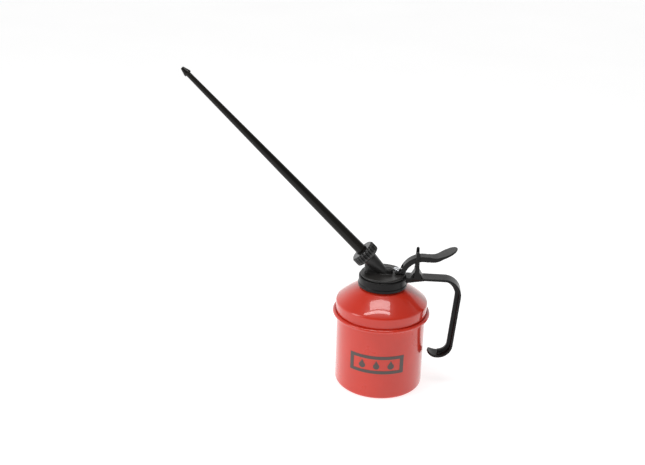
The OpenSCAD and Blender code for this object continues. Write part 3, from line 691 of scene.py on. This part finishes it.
ribs.links.new(push.outputs[0], move.inputs["Offset"])
finish_tree(ribs, enter, leave, move.outputs["Geometry"])
print("rib tree:", len(ribs.nodes), "nodes")

# %% [markdown]
# ## The nut itself
# The ring is drawn with a few extra points along its rim, so that the grooves have something to
# bend. The grip value is 1 on the rim, and falls away where the ring narrows at its two ends.

# %% The nut
NUT_LOW, NUT_TOP, NUT_RADIUS, BORE = 21.4, 30.4, 12.4, 7.3
rim = [(NUT_RADIUS, NUT_LOW + z) for z in (1.0, 2.0, 3.5, 5.0, 6.2, 7.0)]
outline = [(BORE, NUT_LOW, 0.2), (NUT_RADIUS - 0.7, NUT_LOW, 0.3), (NUT_RADIUS, NUT_LOW + 0.6, 0.4), *rim,
           (NUT_RADIUS, NUT_TOP - 1.4, 0.5), (NUT_RADIUS - 1.3, NUT_TOP, 0.4), (5.6, NUT_TOP, 0.3),
           (5.6, NUT_TOP - 1.5, 0.1), (BORE, NUT_TOP - 1.5, 0.1)]
nut = lathe("ribbed_nut", outline, steps=288)
grip_share = nut.data.attributes.new("grip", "FLOAT", "POINT")
for vertex, share in zip(nut.data.vertices, grip_share.data):
    reach, tall = math.hypot(vertex.co.x, vertex.co.y) / MM, vertex.co.z / MM
    run_out = min(1.0, max(0.0, (reach - (NUT_RADIUS - 1.1)) / 0.9))
    share.value = run_out * min(1.0, max(0.0, (tall - NUT_LOW + 0.2) / 0.8))
grown(nut, ribs, Ribs=24, Depth=1.1 * MM, Material=black_grip)
nut.data.transform(SPOUT)
nut.data.shade_smooth()
nut.data.set_sharp_from_angle(angle=math.radians(50))
dress(nut, ["spout_nut"], black_grip)

# %% [markdown]
# ## Spout tube and nozzle
# The spout is a tapered steel tube with an 0.8 mm wall and the nozzle is a small turned tip with a
# flange and a cone. Both are lathed as real hollow shapes, because the open mouth of the nozzle can
# be looked into.

# %% Spout tube and nozzle
tube = [(5.2, 27.8, 0.15), (5.05, 36), (3.9, 139), (2.42, 254), (2.35, 259, 0.1), (1.55, 259, 0.1),
        (4.4, 27.8, 0.15)]
dress(lathe("tapered_spout", tube, SPOUT, steps=96), ["spout_tube"], black_tube)
tip = [(2.4, 257), (3.05, 257, 0.15), (3.45, 257.35, 0.2), (3.45, 258.6, 0.3), (1.65, 264.4, 0.5),
       (1.3, 265, 0.15), (0.8, 265, 0.1), (0.8, 259.05), (2.38, 259.05)]
dress(lathe("turned_nozzle", tip, SPOUT, steps=96), ["spout_nozzle"], black_tube)

# %% [markdown]
# ## Springs and threads
# A coil follows a path, so one Geometry Nodes tree draws them all: a spiral curve with a round wire
# run along it. It winds the return spring in the pump barrel, the small spring over the outlet ball
# and the rolled thread on the can's neck.

# %% The coil tree
coil, enter, leave = geometry_tree(
    "coil", [("Turns", "NodeSocketFloat"), ("Radius", "NodeSocketFloat"), ("Rise", "NodeSocketFloat"),
             ("Wire", "NodeSocketFloat"), ("Foot", "NodeSocketVector"), ("Material", "NodeSocketMaterial")]
)
spiral = put(coil, "GeometryNodeCurveSpiral")
spiral.inputs["Resolution"].default_value = 28
drives = {"Rotations": "Turns", "Start Radius": "Radius", "End Radius": "Radius", "Height": "Rise"}
for label, source in drives.items():
    coil.links.new(enter.outputs[source], spiral.inputs[label])
round_wire = put(coil, "GeometryNodeCurvePrimitiveCircle")
round_wire.inputs["Resolution"].default_value = 10
coil.links.new(enter.outputs["Wire"], round_wire.inputs["Radius"])
drawn = put(coil, "GeometryNodeCurveToMesh")
drawn.inputs["Fill Caps"].default_value = True
coil.links.new(spiral.outputs["Curve"], drawn.inputs["Curve"])
coil.links.new(round_wire.outputs["Curve"], drawn.inputs["Profile Curve"])
lift = put(coil, "GeometryNodeTransform")
coil.links.new(drawn.outputs["Mesh"], lift.inputs["Geometry"])
coil.links.new(enter.outputs["Foot"], lift.inputs["Translation"])
finish_tree(coil, enter, leave, lift.outputs["Geometry"])
print("coil tree:", len(coil.nodes), "nodes")


def wound(name, turns, radius, rise, wire, foot, material):
    piece = new_piece(name, bpy.data.meshes.new(name + "_seed"))
    grown(piece, coil, Turns=turns, Radius=radius * MM, Rise=rise * MM, Wire=wire / 2 * MM,
          Foot=tuple(x * MM for x in foot), Material=material)
    bm = bmesh.new()
    bm.from_mesh(piece.data)
    bmesh.ops.remove_doubles(bm, verts=bm.verts, dist=0.001 * MM)
    bmesh.ops.recalc_face_normals(bm, faces=bm.faces)
    bm.to_mesh(piece.data)
    bm.free()
    piece.data.shade_smooth()
    piece.data.set_sharp_from_angle(angle=math.radians(60))
    return piece


# %% [markdown]
# ## The springs and the neck's thread
# A spring takes its place and size from its imported node. The thread belongs to the can and stays as it is.

# %% The springs and the neck's thread
def spring(name, node, turns, wire):
    low, high = low_high(node)
    middle, rise = (low + high) / 2, high.z - low.z - wire
    radius = (high.x - low.x) / 2 - wire / 2
    piece = wound(name, turns, radius, rise, wire, (middle.x, middle.y, low.z + wire / 2), zinc)
    dress(piece, [node])
    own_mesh(piece)
    return piece


spring("pump_spring", "return_spring", 8, 0.8)
spring("valve_spring", "outlet_spring", 3, 0.4)
thread = wound("neck_thread", 1.6, 19.95, 4.6, 0.9, (0, 0, 101.9), red_paint)
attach(thread, "can")
print("the thread has", len(thread.data.vertices), "points")
